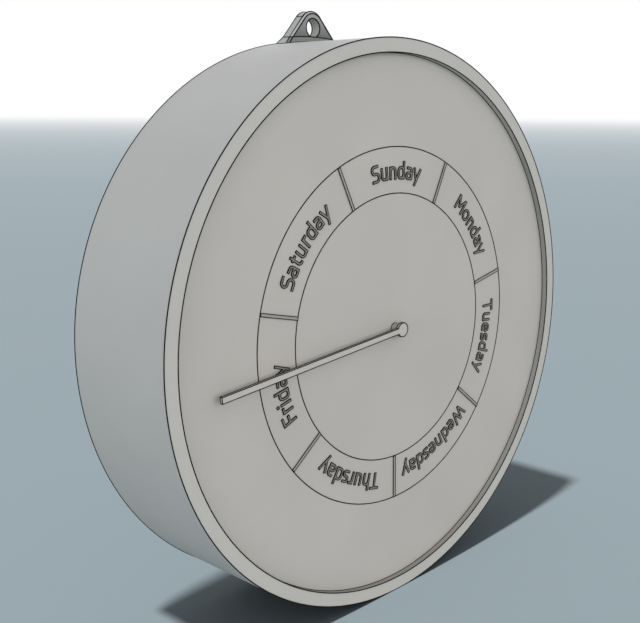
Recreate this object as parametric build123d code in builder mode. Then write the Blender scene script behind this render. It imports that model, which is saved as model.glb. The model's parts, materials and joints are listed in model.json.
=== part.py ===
from build123d import *
import os
from math import atan2, cos, degrees, radians, sin, sqrt

# Day of the week clock. Millimetres; X to the right seen from the front, Y towards the wall, Z up.
# The origin is the centre of the rear face, on the axis of the hand, and the front faces -Y.

# Drum, its front rim and the groove that holds the dial in
drum_radius = 125
drum_depth = 58
drum_wall = 3
rim_width = 6
rim_thickness = 3
retainer_depth = 1
retainer_width = 4.4
retainer_thickness = 1.8
retainer_gap = 5

# Clearances
slip = 0.05
side_gap = 0.3
groove_play = 0.1
end_play = 0.1

# Dial, its inlaid ring of days and the raised lettering
dial_thickness = 3
ring_inner_radius = 60
ring_outer_radius = 80
ring_thickness = 1.2
separator_width = 1.35
separator_height = 0.35
letter_height = 0.35
letter_baseline_radius = 66
letter_spacing_radius = 70
pen = 0.95
x_height = 5.5
cap_height = 7.35
ascender = 7.7
descender = -2.1
days = (
    ("Sunday", 0.5),
    ("Monday", 1.2),
    ("Tuesday", -0.5),
    ("Wednesday", 0.1),
    ("Thursday", -0.1),
    ("Friday", -1.3),
    ("Saturday", -0.8),
)

# Hand
hand_length = 102
hand_width = 2.5
hand_thickness = 1.1
hand_hub_radius = 3.15
hand_socket_depth = 0.7
hand_rise = 2.1
hand_turn = 95.9

# Pillars between dial and rear cover
pillar_count = 6
pillar_radius = 4
pillar_inset = 16.7
pillar_socket_wall = 2
pillar_socket_height = 5

# Rear cover and its screws
cover_thickness = 3
cover_screw_radius = 1.2
cover_screw_head_radius = 2.8
cover_screw_length = 12
screw_slot_width = 0.7
screw_slot_depth = 0.6
screw_cross_length = 3.9
slot_overrun = 1

# Battery door in the rear cover
door_width = 72
door_height = 66
door_drop = 10
door_pin_radius = 0.8
door_pin_length = 3
door_ledge_width = 40
door_ledge_reach = 4
door_ledge_thickness = 2
finger_notch_radius = 7
finger_notch_depth = 1.6

# Hanging lug
lug_thickness = 5
lug_hole_radius = 4.2
lug_hole_rise = 6.4
lug_top_radius = 7.2
lug_shoulder_half_width = 13.7
lug_shoulder_rise = 2.5
lug_shoulder_height = 1
lug_foot_half_width = 18
lug_foot_flare = 2.4
lug_chamfer = 0.95
lug_foot_chamfer = 0.8
lug_screw_offset = 8
lug_screw_inset = 3
lug_screw_radius = 1.1
lug_screw_head_radius = 2.2
lug_screw_length = 6.5
lug_screw_seat_rise = 0.2

# Movement case
movement_wall = 1.5
movement_corner = 3
bush_radius = 2.3
bush_gap = 0.3
case_post_radius = 2.2
case_post_bite = 0.3
case_screw_radius = 0.9
case_screw_head_radius = 1.8
case_screw_head_height = 1
case_screw_length = 8
ear_height = 10
ear_reach = 9
ear_thickness = 2
ear_rise = 4
mounting_post_radius = 3.5
mounting_screw_radius = 1.2
mounting_screw_head_radius = 2.5
mounting_screw_head_height = 1.4
mounting_screw_length = 7
ear_rows = (14, -33)

# Battery, an AA cell lying across the bottom of the movement
cell_radius = 7.25
cell_length = 50.5
cell_nub_radius = 2.75
cell_nub_length = 1
cell_play = 0.35
contact_thickness = 0.5
contact_height = 11
contact_bend = 0.8
contact_tab_offsets = {"positive": 6.6, "negative": 3.4}
contact_travel = 1.4
contact_overlap = 1.5

# Gear train. The rotor turns once in two seconds and the day wheel once in seven days.
fast_module = 0.25
day_module = 0.5
pinion_teeth = 8
rotor_stage_teeth = 60
second_stage_teeth = 64
third_stage_teeth = 64
fourth_stage_teeth = 72
clutch_teeth = 80
washer_thickness = 0.2
washer_flare = 0.9
day_teeth = 56
tooth_addendum = 0.8
tooth_dedendum = 1.15
tooth_half_pitch_share = 0.21
tooth_half_tip_share = 0.12
tooth_half_root_share = 0.25
wheel_thickness = 0.8
day_wheel_thickness = 1.2
pinion_length = 1.2
setting_pinion_length = 2
floor_clearance = 0.7
lid_clearance = 0.9
train_gap = 1.5
bay_gap = 1.7
clutch_gap = 1.2
level_spacing = 2
arbor_radius = 0.5
pivot_radius = 0.35
pivot_length = 0.9
day_arbor_radius = 1
setting_arbor_radius = 1.2
hub_radius = 1.4
day_hub_rise = 1

# Setting knob
knob_radius = 5
knob_thickness = 2.5
knob_notches = 16
knob_notch_radius = 0.6

# Stepping motor
magnet_radius = 3.4
magnet_thickness = 4
air_gap = 0.5
stator_ring_width = 1.9
stator_bar_height = 5
stator_thickness = 0.8
stator_end_gap = 0.9
core_bar_height = 2.2
core_tab_width = 4.5
coil_end_gap = 0.45
coil_rotor_gap = 2.9
coil_stator_gap = 0.6
bobbin_flange_radius = 3.8
bobbin_flange_thickness = 0.8
bobbin_wall = 0.5
winding_radius = 3.4
stator_screw_radius = 0.9
stator_screw_head_radius = 1.7
stator_screw_length = 4

# Circuit board and what it carries
board_width = 17
board_height = 28
board_thickness = 1
board_side_gap = 1
board_lift = 5.9
board_rise = 3.1
board_post_radius = 1.6
board_post_inset = 2.5
board_pin_radius = 0.7
chip_size = 5
chip_height = 1.2
crystal_radius = 1
crystal_length = 6

# Depths, from the front to the rear
front_y = -drum_depth
dial_front_y = front_y + rim_thickness
dial_rear_y = dial_front_y + dial_thickness
floor_y = dial_rear_y + movement_wall
cover_inner_y = -cover_thickness
hand_rear_y = front_y - hand_rise + hand_thickness
bush_front_y = hand_rear_y + bush_gap

# Radii and heights that follow
bore_radius = drum_radius - drum_wall
dial_radius = bore_radius - side_gap
pillar_circle = dial_radius - pillar_inset


def layer(y):
    """Sketch plane at depth y, seen from the front. Extrusions run forward, towards -Y."""
    return Plane.XZ.offset(-y)


def save(part, name):
    """Name a finished piece and write its file."""
    part.label = name
    export_step(part, f"parts/{name}.step")


def away(start, distance, bearing):
    """Point at a distance and bearing, in degrees, from start."""
    return (start[0] + distance * cos(radians(bearing)), start[1] + distance * sin(radians(bearing)))


def bearing_of(start, end):
    """Bearing from start to end, in degrees."""
    return degrees(atan2(end[1] - start[1], end[0] - start[0]))


def centre_distance(module, teeth):
    """Distance between a pinion and the wheel of that many teeth that it meshes with."""
    return module * (teeth + pinion_teeth) / 2


def tip_radius(teeth, module):
    """Radius over the tips of a gear's teeth."""
    return (teeth / 2 + tooth_addendum) * module


def gear_points(teeth, module, turn):
    """Outline of a gear with straight-flanked teeth, one of them centred on the angle turn."""
    pitch_radius = teeth * module / 2
    root_radius = pitch_radius - tooth_dedendum * module
    outer_radius = tip_radius(teeth, module)
    flank = (
        (root_radius, -tooth_half_root_share),
        (pitch_radius, -tooth_half_pitch_share),
        (outer_radius, -tooth_half_tip_share),
        (outer_radius, tooth_half_tip_share),
        (pitch_radius, tooth_half_pitch_share),
        (root_radius, tooth_half_root_share),
    )
    pitch_angle = 360 / teeth
    points = []
    for tooth in range(teeth):
        for radius, share in flank:
            points.append(away((0, 0), radius, turn + (tooth + share) * pitch_angle))
    return points


def meshing_turn(teeth, bearing):
    """Turn of a pinion whose leaf stands in a gap of its wheel, whose first tooth points along +X.

    bearing is the direction from the pinion to the wheel.
    """
    offset = bearing + 180 - 180 / teeth
    return bearing + offset * teeth / pinion_teeth


def gear(teeth, module, turn, centre, rear_y, thickness):
    """Add a gear to the part being built."""
    with BuildSketch(layer(rear_y)) as outline:
        with Locations(centre):
            Polygon(*gear_points(teeth, module, turn), align=None)
    extrude(outline.sketch, amount=thickness)


def rod(centre, radius, y_front, y_rear, mode=Mode.ADD):
    """Add or cut a round rod that lies along Y."""
    with BuildSketch(layer(y_rear)) as section:
        with Locations(centre):
            Circle(radius)
    extrude(section.sketch, amount=y_rear - y_front, mode=mode)


def pivoted_arbor(centre, radius):
    """Add an arbor between the tray's floor and the lid, with a thin pivot at each end."""
    rod(centre, radius, floor_y + end_play, lid_y - end_play)
    rod(centre, pivot_radius, floor_y - pivot_length, lid_y + pivot_length)


def slotted_screws(points, seat_y, head_radius, head_height, radius, length):
    """Round-headed screws driven forward, their heads behind the seat."""
    with BuildPart() as screws:
        for point in points:
            rod(point, head_radius, seat_y, seat_y + head_height)
            rod(point, radius, seat_y - length, seat_y)
        with BuildSketch(layer(seat_y + head_height)):
            with Locations(*points):
                Rectangle(2 * (head_radius + slot_overrun), screw_slot_width)
        extrude(amount=screw_slot_depth, mode=Mode.SUBTRACT)
    return screws.part


# Places of the arbors, from the day wheel back to the rotor
day_axis = (0, 0)
setting_axis = away(day_axis, centre_distance(day_module, day_teeth), -90)
fourth_axis = away(setting_axis, centre_distance(fast_module, clutch_teeth), 0)
third_axis = away(fourth_axis, centre_distance(fast_module, fourth_stage_teeth), 35)
second_axis = away(third_axis, centre_distance(fast_module, third_stage_teeth), 80)
first_axis = away(second_axis, centre_distance(fast_module, second_stage_teeth), 100)
rotor_axis = away(first_axis, centre_distance(fast_module, rotor_stage_teeth), 135)
thin_axes = (fourth_axis, third_axis, second_axis, first_axis, rotor_axis)
train_wheels = (
    (fourth_axis, fourth_stage_teeth),
    (third_axis, third_stage_teeth),
    (second_axis, second_stage_teeth),
    (first_axis, rotor_stage_teeth),
)

# Front faces of the wheels, one level behind the other
day_wheel_y = floor_y + floor_clearance
clutch_wheel_y = day_wheel_y + day_wheel_thickness + clutch_gap
fourth_wheel_y = clutch_wheel_y + level_spacing
third_wheel_y = fourth_wheel_y + level_spacing
second_wheel_y = third_wheel_y + level_spacing
first_wheel_y = second_wheel_y + level_spacing
pinion_overhang = (pinion_length - wheel_thickness) / 2
lid_y = first_wheel_y + wheel_thickness + pinion_overhang + lid_clearance
movement_rear_y = lid_y + movement_wall

# The movement case is as wide as its train or its battery needs
cell_half_length = cell_length / 2
end_block_x = cell_half_length + contact_travel + contact_thickness
train_reach = max(centre[0] + tip_radius(teeth, fast_module) for centre, teeth in train_wheels)
tray_inner_half_width = max(train_reach + train_gap, end_block_x + movement_wall)
movement_half_width = tray_inner_half_width + movement_wall

# The battery lies below the clutch wheel, and the coil above the stator
divider_top = setting_axis[1] - tip_radius(clutch_teeth, fast_module) - bay_gap
bay_top = divider_top - movement_wall
cell_z = bay_top - cell_play - cell_radius
bay_bottom = cell_z - cell_radius - cell_play
tray_bottom = bay_bottom - movement_wall
stator_z = rotor_axis[1]
coil_z = stator_z + stator_bar_height / 2 + coil_stator_gap + bobbin_flange_radius
train_top = coil_z + bobbin_flange_radius + side_gap
tray_top = train_top + movement_wall

os.makedirs("parts", exist_ok=True)

# Places of the screws, posts and pillars
pillar_points = [away((0, 0), pillar_circle, 90 + 360 / pillar_count * i) for i in range(pillar_count)]
case_post_inset = movement_wall + case_post_radius - case_post_bite
post_x = movement_half_width - case_post_inset
case_post_points = [
    (side * post_x, height)
    for side in (-1, 1)
    for height in (tray_top - case_post_inset, divider_top + case_post_inset - movement_wall)
]
ear_x = movement_half_width + ear_reach / 2
ear_points = [(side * ear_x, height) for side in (-1, 1) for height in ear_rows]
stator_half_length = post_x - case_post_radius - stator_end_gap
stator_screw_x = stator_half_length - core_tab_width / 2
stator_screw_points = [(-stator_screw_x, stator_z), (stator_screw_x, stator_z)]
stator_rear_y = (floor_y + lid_y) / 2
core_rear_y = stator_rear_y + stator_thickness
stator_ring_radius = magnet_radius + air_gap + stator_ring_width
coil_start = core_tab_width - stator_half_length + coil_end_gap
coil_end = rotor_axis[0] - stator_ring_radius - coil_rotor_gap
board_front_y = floor_y + board_rise
board_rear_y = board_front_y + board_thickness
board_left = board_side_gap - tray_inner_half_width
board_right = board_left + board_width
board_bottom = divider_top + board_lift
board_top = board_bottom + board_height
board_post_x = board_left + board_post_inset
board_post_heights = (board_bottom + board_post_inset, board_top - board_post_inset)
board_post_points = [(board_post_x, height) for height in board_post_heights]

# Lug heights follow the top of the drum
lug_hole_z = drum_radius + lug_hole_rise
lug_shoulder_radius = drum_radius + lug_shoulder_rise
lug_shoulder_z = sqrt(lug_shoulder_radius**2 - lug_shoulder_half_width**2)
lug_foot_z = sqrt(drum_radius**2 - lug_foot_half_width**2)
lug_foot_slope = (lug_foot_half_width - lug_shoulder_half_width) / (lug_shoulder_z - lug_foot_z)
lug_crown_half_width = lug_shoulder_half_width - lug_foot_slope * (lug_shoulder_radius - lug_shoulder_z)
lug_screw_y = -lug_screw_inset
lug_screw_seat_z = sqrt(bore_radius**2 - lug_screw_offset**2) + lug_screw_seat_rise
lug_screw_head_height = lug_screw_head_radius - lug_screw_radius

# The drum: a tube with an inward rim at the front
with BuildPart() as case_drum:
    with BuildSketch(layer(0)):
        Circle(drum_radius)
        Circle(bore_radius, mode=Mode.SUBTRACT)
    extrude(amount=drum_depth)
    with BuildSketch(layer(dial_front_y)):
        Circle(drum_radius)
        Circle(drum_radius - rim_width, mode=Mode.SUBTRACT)
    extrude(amount=rim_thickness)
    with BuildSketch(layer(dial_rear_y + retainer_thickness + groove_play)):
        Circle(bore_radius + retainer_depth)
    extrude(amount=retainer_thickness + groove_play, mode=Mode.SUBTRACT)
    with BuildSketch(Plane.XY.offset(lug_screw_seat_z)):
        with Locations((-lug_screw_offset, lug_screw_y), (lug_screw_offset, lug_screw_y)):
            Circle(lug_screw_head_radius + slip)
    extrude(amount=lug_screw_head_height, taper=45, mode=Mode.SUBTRACT)
    with BuildSketch(Plane.XY.offset(lug_screw_seat_z)):
        with Locations((-lug_screw_offset, lug_screw_y), (lug_screw_offset, lug_screw_y)):
            Circle(lug_screw_head_radius + slip)
    extrude(amount=-drum_wall, mode=Mode.SUBTRACT)
    with BuildSketch(Plane.XY.offset(lug_screw_seat_z)):
        with Locations((-lug_screw_offset, lug_screw_y), (lug_screw_offset, lug_screw_y)):
            Circle(lug_screw_radius + slip)
    extrude(amount=drum_wall * 2, mode=Mode.SUBTRACT)
save(case_drum.part, "case_drum")

# The dial lies behind the rim, with a shallow groove for the ring of days
with BuildPart() as dial_plate:
    with BuildSketch(layer(dial_rear_y)):
        Circle(dial_radius)
    extrude(amount=dial_thickness)
    with BuildSketch(layer(dial_front_y + ring_thickness)):
        Circle(ring_outer_radius)
        Circle(ring_inner_radius, mode=Mode.SUBTRACT)
    extrude(amount=ring_thickness, mode=Mode.SUBTRACT)
    with BuildSketch(layer(dial_rear_y + pillar_socket_height)):
        with Locations(*pillar_points):
            Circle(pillar_radius + slip + pillar_socket_wall)
            Circle(pillar_radius + slip, mode=Mode.SUBTRACT)
    extrude(amount=pillar_socket_height)
    with BuildSketch(layer(dial_rear_y + ear_rise)):
        with Locations(*ear_points):
            Circle(mounting_post_radius)
    extrude(amount=ear_rise)
    with BuildSketch(layer(dial_rear_y + ear_rise)):
        with Locations(*ear_points):
            Circle(mounting_screw_radius + slip)
    extrude(amount=ear_rise + dial_thickness / 2, mode=Mode.SUBTRACT)
    rod(day_axis, bush_radius + slip, dial_front_y, dial_rear_y, mode=Mode.SUBTRACT)
save(dial_plate.part, "dial_plate")

# A split spring ring in the drum's groove holds the dial against the rim
with BuildPart() as dial_retaining_ring:
    with BuildSketch(layer(dial_rear_y + retainer_thickness)):
        Circle(bore_radius + retainer_depth - groove_play)
        Circle(bore_radius + retainer_depth - retainer_width, mode=Mode.SUBTRACT)
        with Locations((0, -drum_radius)):
            Rectangle(retainer_gap, drum_radius, mode=Mode.SUBTRACT)
    extrude(amount=retainer_thickness)
save(dial_retaining_ring.part, "dial_retaining_ring")

# The ring of days is let in flush with the dial
with BuildPart() as day_ring:
    with BuildSketch(layer(dial_front_y + ring_thickness)):
        Circle(ring_outer_radius - slip)
        Circle(ring_inner_radius + slip, mode=Mode.SUBTRACT)
    extrude(amount=ring_thickness)
save(day_ring.part, "day_ring")

# Seven low ribs part the days
with BuildPart() as day_separators:
    with BuildSketch(layer(dial_front_y)):
        with PolarLocations((ring_inner_radius + ring_outer_radius) / 2, len(days), start_angle=-90):
            Rectangle(ring_outer_radius - ring_inner_radius - 4 * slip, separator_width)
    extrude(amount=separator_height)
save(day_separators.part, "day_separators")

# Heights of the pen's centre line: on the baseline, under the x-height and under the cap height
base = pen / 2
upper = x_height - pen / 2
cap = cap_height - pen / 2


def stroke(*points, bend=0, closed=False):
    """Draw one pen stroke through its corner points, with its corners bent to a radius."""
    with BuildLine() as path:
        if bend:
            FilletPolyline(*points, radius=bend, close=closed)
        else:
            Line(*points)
    trace(path.line, line_width=pen)


def draw_S():
    stroke((4.9, cap), (0.95, cap), (0.95, 3.75), (4.75, 3.75), (4.75, base), (0.65, base), bend=1.5)


def draw_M():
    stroke((1.2, 0), (1.2, cap_height))
    stroke((6.6, 0), (6.6, cap_height))
    stroke((1.3, 7.1), (3.95, 2.2))
    stroke((6.5, 7.1), (3.85, 2.2))


def draw_T():
    stroke((0.2, cap), (5.7, cap))
    stroke((2.95, 0), (2.95, cap))


def draw_W():
    stroke((0.5, cap_height), (2.6, 0.1))
    stroke((4.5, 7.1), (2.5, 0.1))
    stroke((4.6, 7.1), (6.6, 0.1))
    stroke((8.6, cap_height), (6.5, 0.1))


def draw_F():
    stroke((1.3, 0), (1.3, cap_height))
    stroke((1.3, cap), (4.95, cap))
    stroke((1.3, 3.7), (4.6, 3.7))


def draw_u():
    stroke((1.28, x_height), (1.28, base), (4.35, base), (4.35, 2.9), bend=1.4)
    stroke((4.35, 0), (4.35, x_height))


def draw_arch():
    stroke((1.28, 2.6), (1.28, upper), (4.35, upper), (4.35, 0), bend=1.4)


def draw_n():
    stroke((1.28, 0), (1.28, x_height))
    draw_arch()


def draw_h():
    stroke((1.28, 0), (1.28, ascender))
    draw_arch()


def draw_d():
    stroke((0.95, base), (4.3, base), (4.3, upper), (0.95, upper), bend=1.5, closed=True)
    stroke((4.3, 0), (4.3, ascender))


def draw_a():
    stroke((0.95, upper), (4.05, upper), (4.05, 0), bend=1.4)
    stroke((0.9, base), (4.05, base), (4.05, 2.95), (0.9, 2.95), bend=1.1, closed=True)


def draw_y():
    stroke((0.4, x_height), (2.55, 0.2))
    stroke((4.65, x_height), (1.6, descender))


def draw_o():
    stroke((0.95, base), (4.55, base), (4.55, upper), (0.95, upper), bend=1.7, closed=True)


def draw_e():
    stroke((4.4, base), (0.95, base), (0.95, upper), (4.35, upper), (4.35, 2.6), bend=1.5)
    stroke((1, 2.75), (4.5, 2.75))


def draw_s():
    stroke((3.8, upper), (0.9, upper), (0.9, 2.75), (3.65, 2.75), (3.65, base), (0.6, base), bend=1.05)


def draw_r():
    stroke((1.28, 0), (1.28, x_height))
    stroke((1.28, 2.6), (1.28, upper), (3.5, upper), bend=1.4)


def draw_i():
    stroke((1.2, 0), (1.2, x_height))
    stroke((1.2, 6.6), (1.2, ascender))


def draw_t():
    stroke((1.3, 7), (1.3, base), (3.2, base), bend=1.2)
    stroke((0.3, upper), (3.1, upper))


# Each letter's strokes, and the width that it takes up on the line
alphabet = {
    "S": (draw_S, 5.6),
    "M": (draw_M, 7.8),
    "T": (draw_T, 5.9),
    "W": (draw_W, 9.1),
    "F": (draw_F, 5.3),
    "u": (draw_u, 5.6),
    "n": (draw_n, 5.6),
    "h": (draw_h, 5.6),
    "d": (draw_d, 5.6),
    "a": (draw_a, 5.3),
    "y": (draw_y, 5.0),
    "o": (draw_o, 5.5),
    "e": (draw_e, 5.3),
    "s": (draw_s, 4.5),
    "r": (draw_r, 3.7),
    "i": (draw_i, 2.4),
    "t": (draw_t, 3.4),
}
outlines = {}
for letter, (draw, advance) in alphabet.items():
    with BuildSketch() as letter_outline:
        draw()
    outlines[letter] = letter_outline.sketch

# Each day's name curves round the ring, with the tops of its letters outwards
for index, (day, shift) in enumerate(days):
    middle = 90 - index * 360 / len(days) - shift
    reached = -sum(alphabet[letter][1] for letter in day) / 2
    with BuildPart() as day_name:
        with BuildSketch(layer(dial_front_y)):
            for letter in day:
                advance = alphabet[letter][1]
                bearing = middle - degrees((reached + advance / 2) / letter_spacing_radius)
                foot = away((0, 0), letter_baseline_radius, bearing)
                left_end = away(foot, advance / 2, bearing + 90)
                with Locations(Location((*left_end, 0), (0, 0, bearing - 90))):
                    add(outlines[letter])
                reached += advance
        extrude(amount=letter_height)
    save(day_name.part, f"{day.lower()}_letters")

# Pillars carry the rear cover on the dial
with BuildPart() as cover_pillars:
    for point in pillar_points:
        rod(point, pillar_radius, dial_rear_y, cover_inner_y)
        rod(point, cover_screw_radius + slip, -cover_screw_length, cover_inner_y, Mode.SUBTRACT)
save(cover_pillars.part, "cover_pillars")

# Door frame sizes
door_top = -door_drop
door_bottom = door_top - door_height
door_pivot_y = -cover_thickness / 2
door_edge_radius = cover_thickness / 2
door_pivot_z = door_top - side_gap - door_edge_radius
door_half_width = door_width / 2 - side_gap
cover_screw_head_height = cover_screw_head_radius - cover_screw_radius

# The rear cover closes the drum, with an opening for the battery door
with BuildPart() as rear_cover:
    with BuildSketch(layer(0)):
        Circle(dial_radius)
        with Locations((0, (door_top + door_bottom) / 2)):
            Rectangle(door_width, door_height, mode=Mode.SUBTRACT)
    extrude(amount=cover_thickness)
    for point in pillar_points:
        rod(point, cover_screw_radius + slip, cover_inner_y, 0, Mode.SUBTRACT)
    with BuildSketch(layer(0)):
        with Locations(*pillar_points):
            Circle(cover_screw_head_radius + slip)
    extrude(amount=cover_screw_head_height, taper=45, mode=Mode.SUBTRACT)
    with BuildSketch(layer(0)):
        with Locations((0, door_bottom)):
            Circle(finger_notch_radius)
    extrude(amount=finger_notch_depth, mode=Mode.SUBTRACT)
    with BuildSketch(layer(cover_inner_y - side_gap)):
        with Locations((0, door_bottom)):
            Rectangle(door_ledge_width, 2 * door_ledge_reach)
    extrude(amount=door_ledge_thickness)
    with BuildSketch(layer(cover_inner_y)):
        with Locations((0, door_bottom - door_ledge_reach / 2)):
            Rectangle(door_ledge_width, door_ledge_reach)
    extrude(amount=side_gap)
    with BuildSketch(Plane.YZ.offset(-door_width / 2 - door_pin_length)):
        with Locations((door_pivot_y, door_pivot_z)):
            Circle(door_pin_radius + slip)
    extrude(amount=door_width + 2 * door_pin_length, mode=Mode.SUBTRACT)
save(rear_cover.part, "rear_cover")

# Countersunk screws of the rear cover
with BuildPart() as rear_cover_screws:
    with BuildSketch(layer(0)):
        with Locations(*pillar_points):
            Circle(cover_screw_head_radius)
    extrude(amount=cover_screw_head_height, taper=45)
    for point in pillar_points:
        rod(point, cover_screw_radius, -cover_screw_length, 0)
    with BuildSketch(layer(0)):
        with Locations(*pillar_points):
            Rectangle(screw_cross_length, screw_slot_width)
            Rectangle(screw_slot_width, screw_cross_length)
    extrude(amount=screw_slot_depth, mode=Mode.SUBTRACT)
save(rear_cover_screws.part, "rear_cover_screws")

# The battery door hangs on two stub pins, so its top edge is round
with BuildPart() as battery_door:
    with BuildSketch(Plane.YZ.offset(-door_half_width)):
        with Locations((door_pivot_y, door_pivot_z)):
            Circle(door_edge_radius)
        with Locations((door_pivot_y, (door_pivot_z + door_bottom + side_gap) / 2)):
            Rectangle(cover_thickness, door_pivot_z - door_bottom - side_gap)
    extrude(amount=2 * door_half_width)
    with BuildSketch(Plane.YZ.offset(-door_width / 2 - door_pin_length + side_gap)):
        with Locations((door_pivot_y, door_pivot_z)):
            Circle(door_pin_radius)
    extrude(amount=door_width + 2 * door_pin_length - 2 * side_gap)
save(battery_door.part, "battery_door")

# The hanging lug: a round-topped tab on a flared foot that follows the round of the drum
with BuildPart() as hanging_lug:
    with BuildSketch(layer(0)):
        with Locations((0, lug_hole_z)):
            Circle(lug_top_radius)
        with Locations((0, lug_shoulder_z - lug_shoulder_height / 2)):
            Rectangle(2 * lug_shoulder_half_width, lug_shoulder_height)
        make_hull()
    extrude(amount=lug_thickness)
    front_edges = hanging_lug.faces().sort_by(Axis.Y)[0].edges()
    chamfer(front_edges.filter_by(lambda edge: edge.center().Z > lug_shoulder_z), length=lug_chamfer)
    with BuildPart() as lug_foot:
        with BuildSketch(Plane.YZ):
            with BuildLine():
                Polyline(
                    (0, drum_radius),
                    (0, lug_shoulder_radius),
                    (-lug_thickness, lug_shoulder_radius),
                    (-lug_thickness - lug_foot_flare, drum_radius),
                    close=True,
                )
            make_face()
        revolve(axis=Axis.Y)
        with BuildSketch(layer(0)):
            with BuildLine():
                Polyline(
                    (-lug_foot_half_width, lug_foot_z),
                    (-lug_crown_half_width, lug_shoulder_radius),
                    (lug_crown_half_width, lug_shoulder_radius),
                    (lug_foot_half_width, lug_foot_z),
                    close=True,
                )
            make_face()
        extrude(amount=lug_thickness + lug_foot_flare, mode=Mode.INTERSECT)
        flare_edges = lug_foot.edges().filter_by(lambda edge: edge.center().Y < -lug_thickness)
        flare_corners = flare_edges.filter_by(lambda edge: abs(edge.center().X) > lug_shoulder_half_width)
        chamfer(flare_corners, length=lug_foot_chamfer)
    rod((0, 0), drum_radius, -drum_depth, 0, Mode.SUBTRACT)
    rod((0, lug_hole_z), lug_hole_radius, -lug_thickness, 0, Mode.SUBTRACT)
    with BuildSketch(Plane.XY.offset(lug_screw_seat_z)):
        with Locations((-lug_screw_offset, lug_screw_y), (lug_screw_offset, lug_screw_y)):
            Circle(lug_screw_radius + slip)
    extrude(amount=lug_screw_length + slip, mode=Mode.SUBTRACT)
save(hanging_lug.part, "hanging_lug")

# Two countersunk screws, driven outwards from inside the drum, hold the lug
with BuildPart() as hanging_lug_screws:
    with BuildSketch(Plane.XY.offset(lug_screw_seat_z)):
        with Locations((-lug_screw_offset, lug_screw_y), (lug_screw_offset, lug_screw_y)):
            Circle(lug_screw_head_radius)
    extrude(amount=lug_screw_head_height, taper=45)
    with BuildSketch(Plane.XY.offset(lug_screw_seat_z)):
        with Locations((-lug_screw_offset, lug_screw_y), (lug_screw_offset, lug_screw_y)):
            Circle(lug_screw_radius)
    extrude(amount=lug_screw_length)
    with BuildSketch(Plane.XY.offset(lug_screw_seat_z)):
        with Locations((-lug_screw_offset, lug_screw_y), (lug_screw_offset, lug_screw_y)):
            Rectangle(2 * (lug_screw_head_radius + slot_overrun), screw_slot_width)
    extrude(amount=screw_slot_depth, mode=Mode.SUBTRACT)
save(hanging_lug_screws.part, "hanging_lug_screws")

# The movement's tray: floor, walls, battery bay, posts, ears and the bush that carries the day arbor
positive_tab_x = -cell_half_length + contact_tab_offsets["positive"]
negative_tab_x = -cell_half_length + contact_tab_offsets["negative"]
contact_tabs = (positive_tab_x, negative_tab_x)
with BuildPart() as movement_tray:
    with BuildSketch(layer(lid_y)):
        with Locations((0, (tray_bottom + tray_top) / 2)):
            RectangleRounded(2 * movement_half_width, tray_top - tray_bottom, movement_corner)
    extrude(amount=lid_y - dial_rear_y)
    with BuildSketch(layer(lid_y)):
        with Locations((0, (divider_top + train_top) / 2)):
            Rectangle(2 * tray_inner_half_width, train_top - divider_top)
        with Locations((0, (bay_bottom + bay_top) / 2)):
            Rectangle(2 * end_block_x, bay_top - bay_bottom)
    extrude(amount=lid_y - floor_y, mode=Mode.SUBTRACT)
    for point in case_post_points:
        rod(point, case_post_radius, floor_y, lid_y)
        rod(point, case_screw_radius + slip, lid_y - case_screw_length, lid_y, Mode.SUBTRACT)
    for point in stator_screw_points:
        rod(point, core_tab_width / 2, floor_y, stator_rear_y - stator_thickness)
        rod(point, stator_screw_radius + slip, floor_y, stator_rear_y - stator_thickness, Mode.SUBTRACT)
    for point in board_post_points:
        rod(point, board_post_radius, floor_y, board_front_y)
        rod(point, board_pin_radius, floor_y, board_rear_y + board_pin_radius)
    with BuildSketch(layer(dial_rear_y + ear_rise + ear_thickness)):
        for x, z in ear_points:
            with Locations(((x + (movement_half_width - movement_wall / 2) * x / abs(x)) / 2, z)):
                Rectangle(abs(x) - movement_half_width + movement_wall / 2, ear_height)
            with Locations((x, z)):
                Circle(ear_height / 2)
                Circle(mounting_screw_radius + slip, mode=Mode.SUBTRACT)
    extrude(amount=ear_thickness)
    for point in thin_axes:
        rod(point, pivot_radius + slip, floor_y - pivot_length - end_play, floor_y, Mode.SUBTRACT)
    rod(setting_axis, pivot_radius + slip, floor_y - pivot_length - end_play, floor_y, Mode.SUBTRACT)
    rod(day_axis, bush_radius, bush_front_y, floor_y)
    rod(day_axis, day_arbor_radius + slip, bush_front_y, floor_y, Mode.SUBTRACT)
    with BuildSketch(layer(board_front_y)):
        with Locations(*[(tab_x, (bay_top + divider_top) / 2) for tab_x in contact_tabs]):
            Rectangle(contact_thickness + 2 * contact_bend, movement_wall)
    extrude(amount=board_rise, mode=Mode.SUBTRACT)
save(movement_tray.part, "movement_tray")

# The lid closes the gear train and leaves the battery bay open
with BuildPart() as movement_lid:
    with BuildSketch(layer(movement_rear_y)):
        with Locations((0, (bay_top + tray_top) / 2)):
            RectangleRounded(2 * movement_half_width, tray_top - bay_top, movement_corner / 2)
    extrude(amount=movement_wall)
    for point in case_post_points:
        rod(point, case_screw_radius + slip, lid_y, movement_rear_y, Mode.SUBTRACT)
    for point in (*thin_axes, day_axis):
        rod(point, pivot_radius + slip, lid_y, lid_y + pivot_length + end_play, Mode.SUBTRACT)
    rod(setting_axis, setting_arbor_radius + slip, lid_y, movement_rear_y, Mode.SUBTRACT)
save(movement_lid.part, "movement_lid")

movement_case_screws = slotted_screws(
    case_post_points,
    movement_rear_y,
    case_screw_head_radius,
    case_screw_head_height,
    case_screw_radius,
    case_screw_length,
)
save(movement_case_screws, "movement_case_screws")

ear_rear_y = dial_rear_y + ear_rise + ear_thickness
movement_mounting_screws = slotted_screws(
    ear_points,
    ear_rear_y,
    mounting_screw_head_radius,
    mounting_screw_head_height,
    mounting_screw_radius,
    mounting_screw_length,
)
save(movement_mounting_screws, "movement_mounting_screws")

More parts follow.
